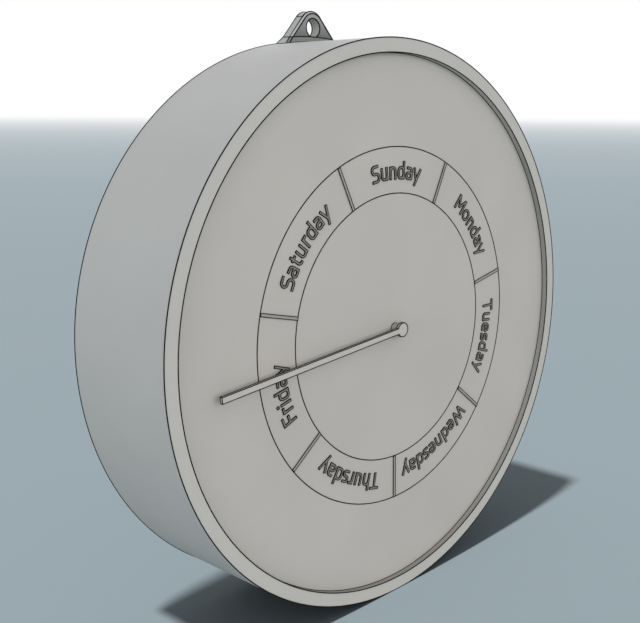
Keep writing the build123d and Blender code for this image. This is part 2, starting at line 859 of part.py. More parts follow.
# The day wheel and its arbor, which passes through the bush to the hand
hand_socket_y = hand_rear_y - hand_socket_depth
with BuildPart() as day_wheel:
    gear(day_teeth, day_module, 0, day_axis, day_wheel_y + day_wheel_thickness, day_wheel_thickness)
    day_hub_rear_y = day_wheel_y + day_wheel_thickness + day_hub_rise
    rod(day_axis, 2 * hub_radius, floor_y + end_play, day_hub_rear_y)
    rod(day_axis, day_arbor_radius, hand_socket_y, floor_y + end_play)
    rod(day_axis, arbor_radius, day_wheel_y, lid_y - end_play)
    rod(day_axis, pivot_radius, day_wheel_y, lid_y + pivot_length)
save(day_wheel.part, "day_wheel")

# The hand, a plain bar on a round hub, pressed on the tip of the day arbor
hand_tip = away(day_axis, hand_length, 90 + hand_turn)
with BuildPart() as day_hand:
    with BuildSketch(layer(hand_rear_y)):
        Circle(hand_hub_radius)
        with BuildLine() as hand_line:
            Line(day_axis, hand_tip)
        trace(line_width=hand_width)
    extrude(amount=hand_thickness)
    rod(day_axis, day_arbor_radius + slip / 2, hand_socket_y, hand_rear_y, Mode.SUBTRACT)
save(day_hand.part, "day_hand")

# The setting pinion drives the day wheel once round in seven turns, and its arbor carries the knob
setting_pinion_rear_y = day_wheel_y + (day_wheel_thickness + setting_pinion_length) / 2
clutch_front_y = clutch_wheel_y - end_play
knob_front_y = movement_rear_y + side_gap
knob_socket_y = knob_front_y + 2 * knob_thickness / 3
with BuildPart() as setting_pinion:
    setting_turn = meshing_turn(day_teeth, bearing_of(setting_axis, day_axis))
    gear(pinion_teeth, day_module, setting_turn, setting_axis, setting_pinion_rear_y, setting_pinion_length)
    rod(setting_axis, setting_arbor_radius, floor_y + end_play, knob_socket_y)
    rod(setting_axis, pivot_radius, floor_y - pivot_length, floor_y + end_play)
save(setting_pinion.part, "setting_pinion")

# A cupped washer between the pinion and the clutch wheel drives the one by the other, and slips
# when the knob is turned
with BuildPart() as clutch_spring:
    washer_depth = clutch_front_y - setting_pinion_rear_y
    with BuildSketch(Plane.YZ.offset(setting_axis[0])) as washer_section:
        inner_z = setting_axis[1] + setting_arbor_radius + slip
        with BuildLine():
            Polyline(
                (setting_pinion_rear_y, inner_z),
                (setting_pinion_rear_y + washer_thickness, inner_z),
                (clutch_front_y, inner_z + washer_flare - washer_thickness),
                (clutch_front_y, inner_z + washer_flare),
                (clutch_front_y - washer_thickness, inner_z + washer_flare),
                close=True,
            )
        make_face()
    revolve(axis=Axis((setting_axis[0], 0, setting_axis[1]), (0, 1, 0)))
save(clutch_spring.part, "clutch_spring")

# The clutch wheel turns once a day, loose on the setting arbor
with BuildPart() as clutch_wheel:
    gear(clutch_teeth, fast_module, 0, setting_axis, clutch_wheel_y + wheel_thickness, wheel_thickness)
    hub_rear_y = clutch_wheel_y + level_spacing - end_play
    rod(setting_axis, 2 * hub_radius, clutch_front_y, hub_rear_y)
    rod(setting_axis, setting_arbor_radius + slip, clutch_front_y, hub_rear_y, Mode.SUBTRACT)
save(clutch_wheel.part, "clutch_wheel")


# Each level of the train: its wheel's name, axis, teeth and front face
levels = (
    ("clutch_wheel", setting_axis, clutch_teeth, clutch_wheel_y),
    ("fourth_wheel", fourth_axis, fourth_stage_teeth, fourth_wheel_y),
    ("third_wheel", third_axis, third_stage_teeth, third_wheel_y),
    ("second_wheel", second_axis, second_stage_teeth, second_wheel_y),
    ("first_wheel", first_axis, rotor_stage_teeth, first_wheel_y),
)

# A wheel, its arbor and the pinion that meshes with the wheel of the level before it are one moulding
for (_, driven_axis, driven_teeth, driven_y), (name, centre, teeth, wheel_y) in zip(levels, levels[1:]):
    with BuildPart() as train_wheel:
        gear(teeth, fast_module, 0, centre, wheel_y + wheel_thickness, wheel_thickness)
        pinion_turn = meshing_turn(driven_teeth, bearing_of(centre, driven_axis))
        pinion_rear_y = driven_y + wheel_thickness + pinion_overhang
        gear(pinion_teeth, fast_module, pinion_turn, centre, pinion_rear_y, pinion_length)
        pivoted_arbor(centre, arbor_radius)
    save(train_wheel.part, name)

# The rotor: a round magnet on the pinion's arbor, in the hole of the stator
magnet_front_y = stator_rear_y - stator_thickness / 2 - magnet_thickness / 2
magnet_rear_y = magnet_front_y + magnet_thickness
with BuildPart() as rotor_pinion:
    rotor_turn = meshing_turn(rotor_stage_teeth, bearing_of(rotor_axis, first_axis))
    rotor_pinion_rear_y = first_wheel_y + wheel_thickness + pinion_overhang
    gear(pinion_teeth, fast_module, rotor_turn, rotor_axis, rotor_pinion_rear_y, pinion_length)
    pivoted_arbor(rotor_axis, arbor_radius)
save(rotor_pinion.part, "rotor_pinion")

with BuildPart() as rotor_magnet:
    rod(rotor_axis, magnet_radius, magnet_front_y, magnet_rear_y)
    rod(rotor_axis, arbor_radius, magnet_front_y, magnet_rear_y, Mode.SUBTRACT)
save(rotor_magnet.part, "rotor_magnet")

# The stator, a bar with a ring round the magnet, and the core that closes its circuit through the coil
with BuildPart() as stator_plate:
    with BuildSketch(layer(stator_rear_y)):
        with Locations((0, stator_z)):
            Rectangle(2 * stator_half_length, stator_bar_height)
        with Locations(rotor_axis):
            Circle(stator_ring_radius)
            Circle(magnet_radius + air_gap, mode=Mode.SUBTRACT)
        with Locations(*stator_screw_points):
            Circle(stator_screw_radius + slip, mode=Mode.SUBTRACT)
    extrude(amount=stator_thickness)
save(stator_plate.part, "stator_plate")

core_top = coil_z + core_bar_height / 2
core_bottom = stator_z - stator_bar_height / 2
core_tab_z = (core_top + core_bottom) / 2
with BuildPart() as coil_core:
    with BuildSketch(layer(core_rear_y)):
        with Locations((0, coil_z)):
            Rectangle(2 * stator_half_length, core_bar_height)
        with Locations((-stator_screw_x, core_tab_z), (stator_screw_x, core_tab_z)):
            Rectangle(core_tab_width, core_top - core_bottom)
        with Locations(*stator_screw_points):
            Circle(stator_screw_radius + slip, mode=Mode.SUBTRACT)
    extrude(amount=stator_thickness)
save(coil_core.part, "coil_core")

stator_screws = slotted_screws(
    stator_screw_points,
    core_rear_y,
    stator_screw_head_radius,
    stator_thickness,
    stator_screw_radius,
    stator_screw_length,
)
save(stator_screws, "stator_screws")

# The bobbin slides on the core's bar, and the winding fills it
coil_y = core_rear_y - stator_thickness / 2
bobbin_tube_height = core_bar_height + 2 * groove_play + 2 * bobbin_wall
bobbin_tube_depth = stator_thickness + 2 * groove_play + 2 * bobbin_wall
with BuildPart() as coil_bobbin:
    with BuildSketch(Plane.YZ.offset(coil_start)):
        with Locations((coil_y, coil_z)):
            Rectangle(bobbin_tube_depth, bobbin_tube_height)
    extrude(amount=coil_end - coil_start)
    with BuildSketch(Plane.YZ.offset(coil_start), Plane.YZ.offset(coil_end - bobbin_flange_thickness)):
        with Locations((coil_y, coil_z)):
            Circle(bobbin_flange_radius)
    extrude(amount=bobbin_flange_thickness)
    with BuildSketch(Plane.YZ.offset(coil_start)):
        with Locations((coil_y, coil_z)):
            Rectangle(stator_thickness + 2 * groove_play, core_bar_height + 2 * groove_play)
    extrude(amount=coil_end - coil_start, mode=Mode.SUBTRACT)
save(coil_bobbin.part, "coil_bobbin")

with BuildPart() as coil_winding:
    with BuildSketch(Plane.YZ.offset(coil_start + bobbin_flange_thickness)):
        with Locations((coil_y, coil_z)):
            Circle(winding_radius)
            Rectangle(bobbin_tube_depth, bobbin_tube_height, mode=Mode.SUBTRACT)
    extrude(amount=coil_end - coil_start - 2 * bobbin_flange_thickness)
save(coil_winding.part, "coil_winding")

# The circuit board stands on two posts, whose pins hold it
with BuildPart() as circuit_board:
    with BuildSketch(layer(board_rear_y)):
        with Locations(((board_left + board_right) / 2, (board_bottom + board_top) / 2)):
            Rectangle(board_right - board_left, board_top - board_bottom)
        with Locations(*board_post_points):
            Circle(board_pin_radius + slip, mode=Mode.SUBTRACT)
    extrude(amount=board_thickness)
save(circuit_board.part, "circuit_board")

board_middle = ((board_left + board_right) / 2, (board_bottom + board_top) / 2)
with BuildPart() as timing_chip:
    with BuildSketch(layer(board_rear_y + chip_height)):
        with Locations(board_middle):
            Rectangle(chip_size, chip_size)
    extrude(amount=chip_height)
    chamfer(timing_chip.faces().sort_by(Axis.Y)[-1].edges(), length=chip_height / 4)
save(timing_chip.part, "timing_chip")

crystal_z = board_top - 2 * crystal_radius
with BuildPart() as quartz_crystal:
    with BuildSketch(Plane.YZ.offset(board_right - crystal_length - crystal_radius)):
        with Locations((board_rear_y + crystal_radius, crystal_z)):
            Circle(crystal_radius)
    extrude(amount=crystal_length)
save(quartz_crystal.part, "quartz_crystal")

# The battery and the two contacts at its ends
cell_y = floor_y + cell_radius + end_play
with BuildPart() as battery:
    with BuildSketch(Plane.YZ.offset(-cell_half_length)):
        with Locations((cell_y, cell_z)):
            Circle(cell_radius)
    extrude(amount=cell_length - cell_nub_length)
    with BuildSketch(Plane.YZ.offset(cell_half_length - cell_nub_length)):
        with Locations((cell_y, cell_z)):
            Circle(cell_nub_radius)
    extrude(amount=cell_nub_length)
save(battery.part, "battery")

contact_x = end_block_x - contact_thickness / 2
contact_front_y = cell_y - contact_height / 2
contact_foot_z = cell_z - contact_height / 2
strip_z = bay_top - contact_thickness / 2 - slip
tab_top_z = board_bottom + contact_overlap


def contact_strip(x, tab_x):
    """Add a contact's plate behind the end of the battery, and the strip from it to the board."""
    with BuildSketch(layer(board_front_y)) as strip:
        with BuildLine():
            corners = ((x, contact_foot_z), (x, strip_z), (tab_x, strip_z), (tab_x, tab_top_z))
            FilletPolyline(*corners, radius=contact_bend)
        trace(line_width=contact_thickness)
    extrude(strip.sketch, amount=board_rise - slip)
    with BuildSketch(layer(cell_y + contact_height / 2)) as plate:
        with BuildLine():
            Line((x, contact_foot_z), (x, strip_z - contact_bend))
        trace(line_width=contact_thickness)
    extrude(plate.sketch, amount=contact_height)


with BuildPart() as positive_contact:
    contact_strip(contact_x, positive_tab_x)
    with BuildSketch(Plane.YZ.offset(contact_x)):
        with Locations((cell_y, cell_z)):
            Circle(cell_nub_radius / 2)
    extrude(amount=cell_half_length + slip - contact_x)
save(positive_contact.part, "positive_contact")

# The negative contact's leaf springs out from its front edge towards the battery
with BuildPart() as negative_contact:
    contact_strip(-contact_x, negative_tab_x)
    with BuildSketch(Plane.XY.offset(contact_foot_z)):
        leaf_x = -cell_half_length - contact_thickness / 4 - slip
        with BuildLine():
            Polyline(
                (-contact_x, contact_front_y + contact_thickness / 4),
                (leaf_x, contact_front_y + contact_thickness / 4),
                (leaf_x, cell_y),
                (-contact_x + contact_thickness, cell_y + contact_height / 2 - contact_thickness),
            )
        trace(line_width=contact_thickness / 2)
    extrude(amount=contact_height)
save(negative_contact.part, "negative_contact")

# The knob on the end of the setting arbor
with BuildPart() as set_knob:
    with BuildSketch(layer(knob_front_y + knob_thickness)):
        with Locations(setting_axis):
            Circle(knob_radius)
        with Locations(setting_axis):
            with PolarLocations(knob_radius, knob_notches):
                Circle(knob_notch_radius, mode=Mode.SUBTRACT)
    extrude(amount=knob_thickness)
    rod(setting_axis, setting_arbor_radius + slip / 2, knob_front_y, knob_socket_y, Mode.SUBTRACT)
save(set_knob.part, "set_knob")
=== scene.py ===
# %% [markdown]
# A clock for the days of the week: one hand, a deep round drum and seven names on its dial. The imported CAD
# model comes in first as a fixed frame, in metres: +X to the right, +Y into the wall, +Z up. Every piece
# made below is built where the frame says, so nothing has to be fitted afterwards.

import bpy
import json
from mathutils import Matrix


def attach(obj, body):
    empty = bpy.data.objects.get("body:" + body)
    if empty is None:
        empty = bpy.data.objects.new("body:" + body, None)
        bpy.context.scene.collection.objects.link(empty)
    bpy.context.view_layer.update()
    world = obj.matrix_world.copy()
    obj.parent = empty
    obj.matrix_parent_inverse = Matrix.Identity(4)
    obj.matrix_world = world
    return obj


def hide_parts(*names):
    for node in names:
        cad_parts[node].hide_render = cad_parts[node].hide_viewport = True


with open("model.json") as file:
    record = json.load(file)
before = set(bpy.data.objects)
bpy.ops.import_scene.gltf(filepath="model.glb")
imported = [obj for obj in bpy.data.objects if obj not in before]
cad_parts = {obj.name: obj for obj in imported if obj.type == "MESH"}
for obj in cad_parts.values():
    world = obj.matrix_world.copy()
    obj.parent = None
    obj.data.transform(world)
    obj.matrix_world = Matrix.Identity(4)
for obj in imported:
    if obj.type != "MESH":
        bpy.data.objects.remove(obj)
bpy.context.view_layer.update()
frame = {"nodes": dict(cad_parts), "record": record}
print("nodes in the frame:", len(frame["nodes"]))

# %% [markdown]
# Blender works in metres and this script writes sizes in millimetres, so one name turns one into the other.
# Colours are written as they look on a screen, from 0 to 255, and turned into the even scale that shaders
# use.

# %% Modules and units
import json
import math

import bmesh
import bpy
from mathutils import Matrix, Vector

MM = 0.001


def paint(red, green, blue):
    """Gives a colour as a shader wants it, from the 0 to 255 values of a screen."""
    shares = [value / 255 for value in (red, green, blue)]
    return tuple(share / 12.92 if share <= 0.04045 else ((share + 0.055) / 1.055) ** 2.4 for share in shares)


print("mid grey as a shader sees it:", [round(share, 3) for share in paint(128, 128, 128)])

# %% [markdown]
# The camera stands to the left of the clock and a little above it: it is turned 49 degrees to the side and
# looks 12 degrees down. Its place and lens come from fitting a camera to the circles of the drum and the
# dial. The picture is 640 by 623, and the optical centre isn't its middle, so the lens is shifted a little.

# %% Camera
photo_width = 640
photo_height = 623
focal_pixels = 979.4
optical_centre_x = 400.8
optical_centre_y = 320.7
sensor_width = 36

yaw = math.radians(48.822)
pitch = math.radians(-11.972)
roll = math.radians(-0.335)
camera_place = Vector((-319.92, -338.57, 94.06)) * MM

forward = Vector((math.sin(yaw) * math.cos(pitch), math.cos(yaw) * math.cos(pitch), math.sin(pitch)))
level_right = forward.cross(Vector((0, 0, 1))).normalized()
level_down = forward.cross(level_right)
right = math.cos(roll) * level_right + math.sin(roll) * level_down
down = math.cos(roll) * level_down - math.sin(roll) * level_right

lens = bpy.data.cameras.new("camera")
lens.sensor_fit = "HORIZONTAL"
lens.sensor_width = sensor_width
lens.lens = focal_pixels / photo_width * sensor_width
lens.shift_x = (photo_width / 2 - optical_centre_x) / photo_width
lens.shift_y = (optical_centre_y - photo_height / 2) / photo_width
lens.clip_start = 0.01
lens.clip_end = 500
camera = bpy.data.objects.new("camera", lens)
camera.matrix_world = Matrix.Translation(camera_place) @ Matrix((right, -down, -forward)).transposed().to_4x4()
bpy.context.scene.collection.objects.link(camera)
bpy.context.scene.camera = camera
print("lens in mm:", round(lens.lens, 2))

# %% [markdown]
# A studio is a floor, a sky and lamps. The floor is one sheet under the clock. A grid of one face is
# enough, and it is made so large that its far edge can't be told from the horizon.

# %% Floor sheet
floor_height = -125 * MM
floor_reach = 400

floor_shape = bmesh.new()
bmesh.ops.create_grid(floor_shape, x_segments=1, y_segments=1, size=floor_reach)
bmesh.ops.translate(floor_shape, verts=floor_shape.verts, vec=(0, 0, floor_height))
floor_mesh = bpy.data.meshes.new("floor")
floor_shape.to_mesh(floor_mesh)
floor = bpy.data.objects.new("floor", floor_mesh)
bpy.context.scene.collection.objects.link(floor)
print("floor at", floor_height, "m")

# %% [markdown]
# Every finish is a material made of nodes, and a few steps come back in several of them: start a material,
# measure the distance from an axis, do a sum, and tell what the camera sees directly from what only gives
# light. Each of these gets a small helper.

# %% Helpers for node materials
def new_material(name):
    """Starts a node material and gives its nodes, its links and its surface shader."""
    material = bpy.data.materials.new(name)
    material.use_nodes = True
    tree = material.node_tree
    return material, tree.nodes, tree.links, tree.nodes["Principled BSDF"]


def distance_from_axis(nodes, links, flatten):
    """Gives the node that measures how far a point is from an axis, with one direction left out."""
    place = nodes.new("ShaderNodeTexCoord")
    flat = nodes.new("ShaderNodeVectorMath")
    flat.operation = "MULTIPLY"
    flat.inputs[1].default_value = flatten
    length = nodes.new("ShaderNodeVectorMath")
    length.operation = "LENGTH"
    links.new(place.outputs["Object"], flat.inputs[0])
    links.new(flat.outputs["Vector"], length.inputs[0])
    return length


def calculation(nodes, links, operation, first, second=None):
    """Adds one Math node; first and second are sockets or numbers."""
    step = nodes.new("ShaderNodeMath")
    step.operation = operation
    for place, value in enumerate((first, second)):
        if isinstance(value, (int, float)):
            step.inputs[place].default_value = value
        elif value:
            links.new(value, step.inputs[place])
    return step.outputs["Value"]


def directly_seen(nodes, links):
    """Gives 1 for what the camera sees directly, in a reflection or through glass, and 0 for lighting."""
    rays = nodes.new("ShaderNodeLightPath")
    either = calculation(nodes, links, "MAXIMUM", rays.outputs["Is Camera Ray"], rays.outputs["Is Glossy Ray"])
    return calculation(nodes, links, "MAXIMUM", either, rays.outputs["Is Transmission Ray"])


helpers = (new_material, distance_from_axis, calculation, directly_seen)
print("helpers for materials:", [helper.__name__ for helper in helpers])

# %% [markdown]
# The floor is matt paper that fades to white far away, so it ends in a soft horizon. The fade is a mix of
# paper and white glow, driven by the distance from the clock, slow near it and steep far off. A picture of
# a horizon behind the clock would stay in place when the camera moves, and this doesn't. The helper for
# what is directly seen keeps the glow out of the light that falls on the clock.

# %% Floor finish
floor_colour = paint(86, 95, 99)
floor_roughness = 0.95
floor_sheen = 0.1
floor_haze = 20.6
haze_steepness = 1.5


def floor_finish():
    """Pale matt paper that turns white towards the horizon."""
    material, nodes, links, surface = new_material("floor_paper")
    surface.inputs["Base Color"].default_value = (*floor_colour, 1)
    surface.inputs["Roughness"].default_value = floor_roughness
    surface.inputs["Specular IOR Level"].default_value = floor_sheen
    far = distance_from_axis(nodes, links, (1, 1, 0))
    ratio = calculation(nodes, links, "DIVIDE", far.outputs["Value"], floor_haze)
    depth = calculation(nodes, links, "POWER", ratio, haze_steepness)
    left = calculation(nodes, links, "EXPONENT", calculation(nodes, links, "MULTIPLY", depth, -1))
    haze = calculation(nodes, links, "SUBTRACT", 1, left)
    share = calculation(nodes, links, "MULTIPLY", haze, directly_seen(nodes, links))
    white = nodes.new("ShaderNodeEmission")
    mix = nodes.new("ShaderNodeMixShader")
    links.new(share, mix.inputs["Fac"])
    links.new(surface.outputs["BSDF"], mix.inputs[1])
    links.new(white.outputs["Emission"], mix.inputs[2])
    links.new(mix.outputs["Shader"], nodes["Material Output"].inputs["Surface"])
    return material


floor_mesh.materials.append(floor_finish())
print("floor fades to white over", floor_haze, "m")

# %% [markdown]
# The sky lights the clock evenly from all sides. It lights less than it shows: Is Camera Ray, with Is
# Glossy Ray and Is Transmission Ray, picks plain white for what is seen directly or in a reflection.

# %% Sky
sky_light = 0.87

sky = bpy.data.worlds.new("studio")
sky.use_nodes = True
bpy.context.scene.world = sky
sky_nodes = sky.node_tree.nodes
sky_links = sky.node_tree.links
glow = sky_nodes["Background"]
glow.inputs["Color"].default_value = (1, 1, 1, 1)
glow.inputs["Strength"].default_value = sky_light
white = sky_nodes.new("ShaderNodeBackground")
white.inputs["Color"].default_value = (1, 1, 1, 1)
choice = sky_nodes.new("ShaderNodeMixShader")
sky_links.new(directly_seen(sky_nodes, sky_links), choice.inputs["Fac"])
sky_links.new(glow.outputs[0], choice.inputs[1])
sky_links.new(white.outputs[0], choice.inputs[2])
sky_links.new(choice.outputs[0], sky_nodes["World Output"].inputs["Surface"])
print("sky strength:", sky_light)

# %% [markdown]
# A far lamp above, a little to the left and in front, gives the clock its shadow. It lights the floor
# alone, so the matt grey of the clock keeps its even tone. Wide lamps at the front, on the left and behind
# light the clock but not the floor. Light linking does both: a lamp lights only what its receiver
# collection holds, or all but what is marked as excluded there.

# %% Lamps
def hang(name, light, place, aim):
    """Hangs a lamp at a place and turns it towards a point."""
    lamp = bpy.data.objects.new(name, light)
    facing = (Vector(aim) - Vector(place)).to_track_quat("-Z", "Y").to_matrix().to_4x4()
    lamp.matrix_world = Matrix.Translation(Vector(place)) @ facing
    bpy.context.scene.collection.objects.link(lamp)
    return lamp


def wide_lamp(name, place, size, watts):
    """Makes a square lamp that faces the clock."""
    light = bpy.data.lights.new(name, "AREA")
    light.size = size
    light.energy = watts
    return hang(name, light, place, (0, 0, 0))


overhead = bpy.data.lights.new("overhead", "SUN")
overhead.energy = 8.5
overhead.angle = math.radians(4)
overhead_lamp = hang("overhead", overhead, (-0.72, -0.17, 2), (0, 0, 0))
lit_by_overhead = bpy.data.collections.new("lit_by_overhead")
lit_by_overhead.objects.link(floor)
overhead_lamp.light_linking.receiver_collection = lit_by_overhead
all_but_floor = bpy.data.collections.new("all_but_floor")
all_but_floor.objects.link(floor)
all_but_floor.collection_objects[0].light_linking.link_state = "EXCLUDE"
for fill_lamp in (
    wide_lamp("front_fill", (-0.5, -1.8, 0.25), 1.4, 21),
    wide_lamp("left_fill", (-1.9, -0.4, 0.18), 0.6, 7),
    wide_lamp("rear_fill", (0.9, 1.7, 0.35), 1.4, 16),
):
    fill_lamp.light_linking.receiver_collection = all_but_floor
bpy.context.scene.view_settings.view_transform = "Standard"

# %% [markdown]
# The plastics of the clock are matt and nearly flat in colour. Real mouldings still show a slow drift of
# tone and a fine eroded grain, which here are two noises on Object coordinates: a wide one in the colour
# and a fine one in the bump. The wide noise runs between two tones of the colour, one a little darker and
# one a little lighter.

# %% Moulded plastic
plastic_sheen = 0.15
noise_low = 0.3
noise_high = 0.7
cloud_detail = 4
grain_scale = 1600
grain_detail = 2
grain_height = 0.04


def two_tones(nodes, colour, dark, light):
    """Adds a ramp between two tones of a colour, over the middle of a noise's range."""
    ramp = nodes.new("ShaderNodeValToRGB")
    for end, position, factor in zip(ramp.color_ramp.elements, (noise_low, noise_high), (dark, light)):
        end.position = position
        end.color = (*[min(1, share * factor) for share in colour], 1)
    return ramp


def moulded(name, colour, roughness, grain=0.35, drift=0.03, drift_size=40):
    """Matt moulded plastic: a slow drift of tone in the colour and a fine grain in the bump."""
    material, nodes, links, surface = new_material(name)
    surface.inputs["Roughness"].default_value = roughness
    surface.inputs["Specular IOR Level"].default_value = plastic_sheen
    place = nodes.new("ShaderNodeTexCoord")
    cloud = nodes.new("ShaderNodeTexNoise")
    cloud.inputs["Scale"].default_value = 1000 / drift_size
    cloud.inputs["Detail"].default_value = cloud_detail
    tones = two_tones(nodes, colour, 1 - drift, 1 + drift)
    fine = nodes.new("ShaderNodeTexNoise")
    fine.inputs["Scale"].default_value = grain_scale
    fine.inputs["Detail"].default_value = grain_detail
    bump = nodes.new("ShaderNodeBump")
    bump.inputs["Strength"].default_value = grain
    bump.inputs["Distance"].default_value = grain_height * MM
    links.new(place.outputs["Object"], cloud.inputs["Vector"])
    links.new(place.outputs["Object"], fine.inputs["Vector"])
    links.new(cloud.outputs["Fac"], tones.inputs["Fac"])
    links.new(tones.outputs["Color"], surface.inputs["Base Color"])
    links.new(fine.outputs["Fac"], bump.inputs["Height"])
    links.new(bump.outputs["Normal"], surface.inputs["Normal"])
    return material


# The drum's side and the front of its lip are one moulding: the side's cooler, darker grey and the lip's
# warmer, lighter grey are painted light and shade for how the light falls on each.
drum_side_painted_light = moulded("drum_side_plastic_painted_light", paint(168, 169, 168), 0.65)
rim_front_painted_light = moulded("rim_front_plastic_painted_light", paint(174, 172, 166), 0.65)
line_finish = moulded("edge_line", paint(11, 12, 12), 0.85, grain=0.1)
ring_finish = moulded("ring_plastic", paint(173, 168, 163), 0.6)
rib_finish = moulded("rib_plastic", paint(146, 142, 137), 0.6)
letter_finish = moulded("letter_plastic", paint(122, 118, 113), 0.6)
# The post's grey, darker than the dial, is painted shade close behind the hand.
sleeve_painted_shade = moulded("bush_plastic_painted_shade", paint(139, 143, 137), 0.6)
print("materials so far:", len(bpy.data.materials))

# %% [markdown]
# Some walls lie deeper in shade at one end: the wall round the sunk dial, and the front of the lug above the
# drum. That shade is painted: their plastic runs from a darker colour to a lighter one with height, which is
# the Z of the Object coordinates. The colour that moulded() made is taken off the surface, mixed with the
# second colour and put back.

# %% Plastic with painted shade by height
def plastic_with_painted_shade_by_height(name, low_colour, high_colour, low_height, high_height, roughness):
    """Moulded plastic with painted shade: its colour changes with height, between two heights in millimetres.
    """
    material = moulded(name, low_colour, roughness)
    nodes = material.node_tree.nodes
    links = material.node_tree.links
    surface = nodes["Principled BSDF"]
    place = nodes.new("ShaderNodeTexCoord")
    split = nodes.new("ShaderNodeSeparateXYZ")
    rise = nodes.new("ShaderNodeMapRange")
    rise.inputs["From Min"].default_value = low_height * MM
    rise.inputs["From Max"].default_value = high_height * MM
    mix = nodes.new("ShaderNodeMix")
    mix.data_type = "RGBA"
    mix.inputs["B"].default_value = (*high_colour, 1)
    tones = surface.inputs["Base Color"].links[0].from_socket
    links.new(place.outputs["Object"], split.inputs["Vector"])
    links.new(split.outputs["Z"], rise.inputs["Value"])
    links.new(rise.outputs["Result"], mix.inputs["Factor"])
    links.new(tones, mix.inputs["A"])
    links.new(mix.outputs["Result"], surface.inputs["Base Color"])
    return material


# The wall round the sunk dial carries painted shade: darker low down, lighter towards the top.
shade_low = 65
shade_high = 115
shade_finish = plastic_with_painted_shade_by_height(
    "recess_shade", paint(142, 142, 138), paint(182, 182, 177), shade_low, shade_high, 0.7
)
print("recess wall gets lighter from", shade_low, "to", shade_high, "mm")

# %% [markdown]
# The dial is the same plastic, with painted shade: a narrow darker band under the right half of the rim,
# where less light comes in. The band follows the distance from the hand's axis in X and Z, and X alone fades
# it out towards the left.

# %% Dial plastic
dial_colour = paint(172, 168, 163)
dial_shade_start = 116.3
dial_shade_end = 119.2
dial_shade_depth = 0.2
dial_shade_left = -20
dial_shade_right = 70


def dial_plastic():
    """Moulded plastic with a soft band of painted shade under the right half of the rim."""
    material = moulded("dial_plastic", dial_colour, 0.62)
    nodes = material.node_tree.nodes
    links = material.node_tree.links
    surface = nodes["Principled BSDF"]
    far = distance_from_axis(nodes, links, (1, 0, 1))
    band = nodes.new("ShaderNodeMapRange")
    band.interpolation_type = "SMOOTHSTEP"
    band.inputs["From Min"].default_value = dial_shade_start * MM
    band.inputs["From Max"].default_value = dial_shade_end * MM
    place = nodes.new("ShaderNodeTexCoord")
    split = nodes.new("ShaderNodeSeparateXYZ")
    side = nodes.new("ShaderNodeMapRange")
    side.interpolation_type = "SMOOTHSTEP"
    side.inputs["From Min"].default_value = dial_shade_left * MM
    side.inputs["From Max"].default_value = dial_shade_right * MM
    side.inputs["To Max"].default_value = dial_shade_depth
    links.new(place.outputs["Object"], split.inputs["Vector"])
    links.new(split.outputs["X"], side.inputs["Value"])
    taken = calculation(nodes, links, "MULTIPLY", band.outputs["Result"], side.outputs["Result"])
    left = calculation(nodes, links, "SUBTRACT", 1, taken)
    shade = nodes.new("ShaderNodeMix")
    shade.data_type = "RGBA"
    shade.blend_type = "MULTIPLY"
    shade.inputs["Factor"].default_value = 1
    tones = surface.inputs["Base Color"].links[0].from_socket
    links.new(far.outputs["Value"], band.inputs["Value"])
    links.new(tones, shade.inputs["A"])
    links.new(left, shade.inputs["B"])
    links.new(shade.outputs["Result"], surface.inputs["Base Color"])
    return material


dial_finish = dial_plastic()
print("dial darkens from", dial_shade_start, "to", dial_shade_end, "mm")

# %% [markdown]
# Metals are told apart by their marks. Brushed sheet has long fine scratches in one direction, so its noise
# is stretched hard along that direction with a Mapping node. The same noise drives the bump and the
# roughness.

# %% Brushed and turned metal
scratch_scale = 60
scratch_detail = 5
scratch_height = 0.02
scratch_dark = 0.93
scratch_light = 1.05
scratch_smoother = 0.8
scratch_rougher = 1.2


def brushed(name, colour, roughness, stretch=(60, 1, 60), metallic=1.0, depth=0.4):
    """Metal with fine scratches, stretched along the direction that has the smallest number."""
    material, nodes, links, surface = new_material(name)
    surface.inputs["Metallic"].default_value = metallic
    place = nodes.new("ShaderNodeTexCoord")
    turn = nodes.new("ShaderNodeMapping")
    turn.inputs["Scale"].default_value = stretch
    scratches = nodes.new("ShaderNodeTexNoise")
    scratches.inputs["Scale"].default_value = scratch_scale
    scratches.inputs["Detail"].default_value = scratch_detail
    tones = two_tones(nodes, colour, scratch_dark, scratch_light)
    dullness = nodes.new("ShaderNodeMapRange")
    dullness.inputs["To Min"].default_value = roughness * scratch_smoother
    dullness.inputs["To Max"].default_value = min(1, roughness * scratch_rougher)
    bump = nodes.new("ShaderNodeBump")
    bump.inputs["Strength"].default_value = depth
    bump.inputs["Distance"].default_value = scratch_height * MM
    links.new(place.outputs["Object"], turn.inputs["Vector"])
    links.new(turn.outputs["Vector"], scratches.inputs["Vector"])
    links.new(scratches.outputs["Fac"], tones.inputs["Fac"])
    links.new(scratches.outputs["Fac"], dullness.inputs["Value"])
    links.new(scratches.outputs["Fac"], bump.inputs["Height"])
    links.new(tones.outputs["Color"], surface.inputs["Base Color"])
    links.new(dullness.outputs["Result"], surface.inputs["Roughness"])
    links.new(bump.outputs["Normal"], surface.inputs["Normal"])
    return material


hand_finish = brushed("hand_lacquer", paint(176, 171, 166), 0.55, stretch=(1, 60, 60), metallic=0.0, depth=0.2)
print("hand finish made")

# %% [markdown]
# New shapes are built in a bmesh and then put into the scene as an object. Curved faces are shaded smooth,
# and an edge stays sharp where its two faces meet at more than a small angle.

# %% Sharp edges and new objects
sharp_angle = math.radians(28)


def smooth_but_sharp(shape):
    """Shades a shape smooth, except across its sharp edges."""
    for face in shape.faces:
        face.smooth = True
    for edge in shape.edges:
        edge.smooth = edge.calc_face_angle(math.pi) < sharp_angle


